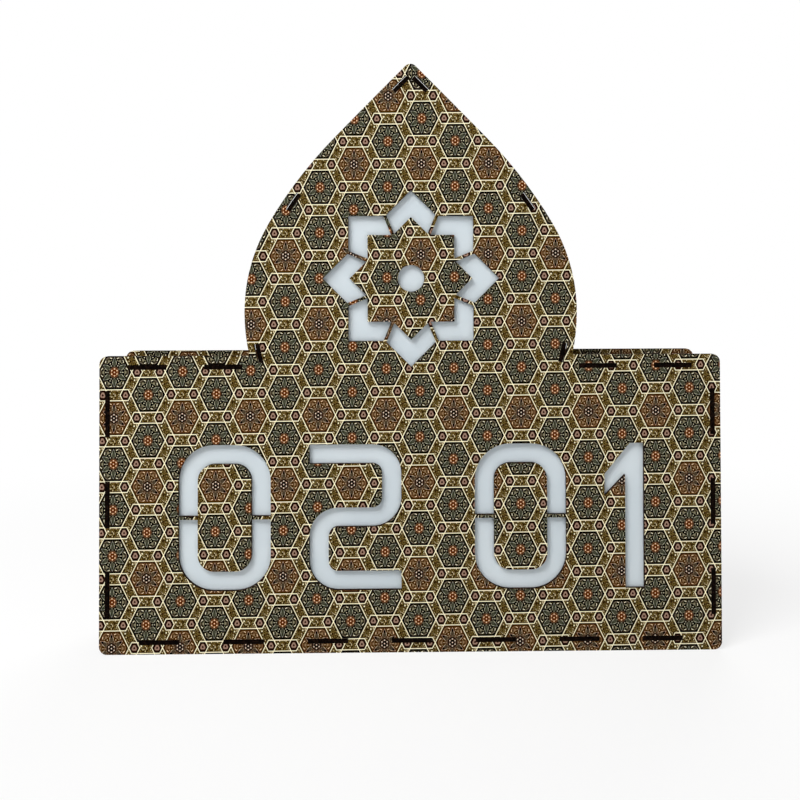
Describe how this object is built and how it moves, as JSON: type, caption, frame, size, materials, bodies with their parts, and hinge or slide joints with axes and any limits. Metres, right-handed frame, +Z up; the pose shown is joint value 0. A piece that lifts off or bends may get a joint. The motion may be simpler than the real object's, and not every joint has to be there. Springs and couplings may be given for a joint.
{
  "type": "prayer time display board",
  "caption": "Lit laser-cut wall board with an onion dome top, stencil windows over opal sheets, tab-and-slot walls, kerf-bent dome strips and a rear rocker switch.",
  "frame": {"origin": "middle of the footprint on the table, centred on the overall depth with the rear switch", "axes": "+X to the right seen from the front, -Y out of the printed front, +Z up to the dome"},
  "size_m": [0.42, 0.0637, 0.3979],
  "materials": {
    "printed_board": "satin print on laser-cut fibreboard",
    "raw_board": "raw fibreboard with scorched cut edges",
    "opal_sheet": "opal acrylic",
    "tape_film": "white film",
    "light_chip": "yellow phosphor",
    "switch_case": "fine-textured black",
    "switch_key": "gloss black",
    "plated_contact": "tin plate",
    "jack_case": "black",
    "plated_nut": "nickel plate",
    "red_wire": "smooth",
    "black_wire": "smooth",
    "white_wire": "smooth"
  },
  "bodies": {
    "box": {"front_panel": "printed_board", "back_panel": "printed_board", "bottom_wall": "raw_board", "left_wall": "raw_board", "right_wall": "raw_board", "left_ledge_wall": "raw_board", "right_ledge_wall": "raw_board", "left_dome_wall": "raw_board", "right_dome_wall": "raw_board", "cross_partition": "raw_board", "upright_partition": "raw_board", "left_diffuser": "opal_sheet", "right_diffuser": "opal_sheet", "upper_diffuser": "opal_sheet", "left_tapes": "tape_film", "right_tapes": "tape_film", "upper_tapes": "tape_film", "left_chips": "light_chip", "right_chips": "light_chip", "upper_chips": "light_chip", "switch_housing": "switch_case", "switch_blades": "plated_contact", "jack_lugs": "plated_contact", "jack_pin": "plated_contact", "jack_body": "jack_case", "jack_nut": "plated_nut", "wire_supply": "red_wire", "wire_right_plus": "red_wire", "wire_left_plus": "red_wire", "wire_upper_plus": "red_wire", "wire_right_minus": "black_wire", "wire_left_minus": "black_wire", "wire_upper_minus": "black_wire", "tape_links": "white_wire"},
    "rocker": {"switch_rocker": "switch_key"}
  },
  "joints": [
    {"name": "rocker_tilt", "type": "hinge", "parent": "box", "child": "rocker", "pos_m": [0.138, 0.02707, 0.03], "axis": [0, 0, 1], "range_deg": [-10, 10]}
  ]
}
